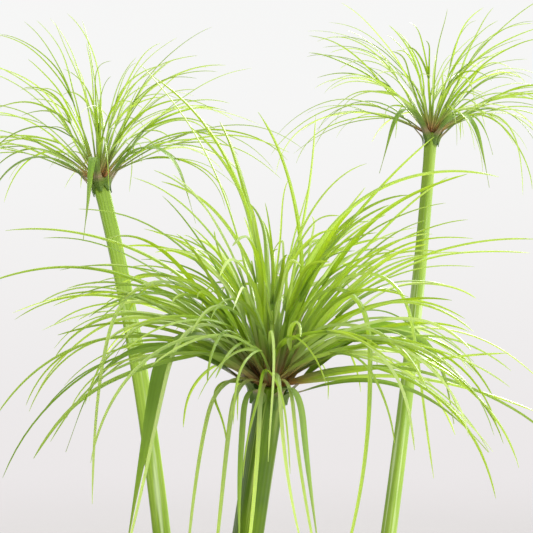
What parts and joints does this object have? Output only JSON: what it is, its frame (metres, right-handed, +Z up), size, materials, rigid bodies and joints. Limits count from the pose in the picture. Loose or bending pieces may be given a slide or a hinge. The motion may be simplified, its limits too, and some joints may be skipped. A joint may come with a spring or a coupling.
{
  "type": "potted papyrus plant",
  "caption": "Papyrus in a plain tapered pot: tall bare stems, each with an umbel of fine arching rays over leaf-like bracts.",
  "frame": {"origin": "centre of the pot's flat foot, on the surface that it stands on", "axes": "+Z up, along the plant's height; -Y towards the front umbel, +X to the right as seen from the front"},
  "size_m": [0.5301, 0.8558, 1.0179],
  "materials": {
    "glaze": "satin",
    "potting_soil": "matte",
    "culm_green": "satin",
    "bract_green": "satin",
    "ray_green": "satin",
    "sheath_brown": "matte"
  },
  "bodies": {
    "root": {"pot": "glaze", "soil": "potting_soil", "front_culm": "culm_green", "front_sheath": "sheath_brown", "front_rays": "ray_green", "left_culm": "culm_green", "left_sheath": "sheath_brown", "left_rays": "ray_green", "right_culm": "culm_green", "right_sheath": "sheath_brown", "right_rays": "ray_green", "tall_shoot_stem": "culm_green", "tall_shoot_sheath": "sheath_brown", "tall_shoot_bud": "bract_green", "short_shoot_stem": "culm_green", "short_shoot_sheath": "sheath_brown", "short_shoot_bud": "bract_green", "front_bract_1": "bract_green", "front_bract_2": "bract_green", "front_bract_3": "bract_green", "front_bract_4": "bract_green", "front_bract_5": "bract_green", "front_bract_6": "bract_green", "front_bract_7": "bract_green", "front_bract_8": "bract_green", "left_bract_1": "bract_green", "left_bract_2": "bract_green", "left_bract_3": "bract_green", "left_bract_4": "bract_green", "left_bract_5": "bract_green", "right_bract_1": "bract_green", "right_bract_2": "bract_green", "right_bract_3": "bract_green", "right_bract_4": "bract_green", "right_bract_5": "bract_green"}
  },
  "joints": []
}
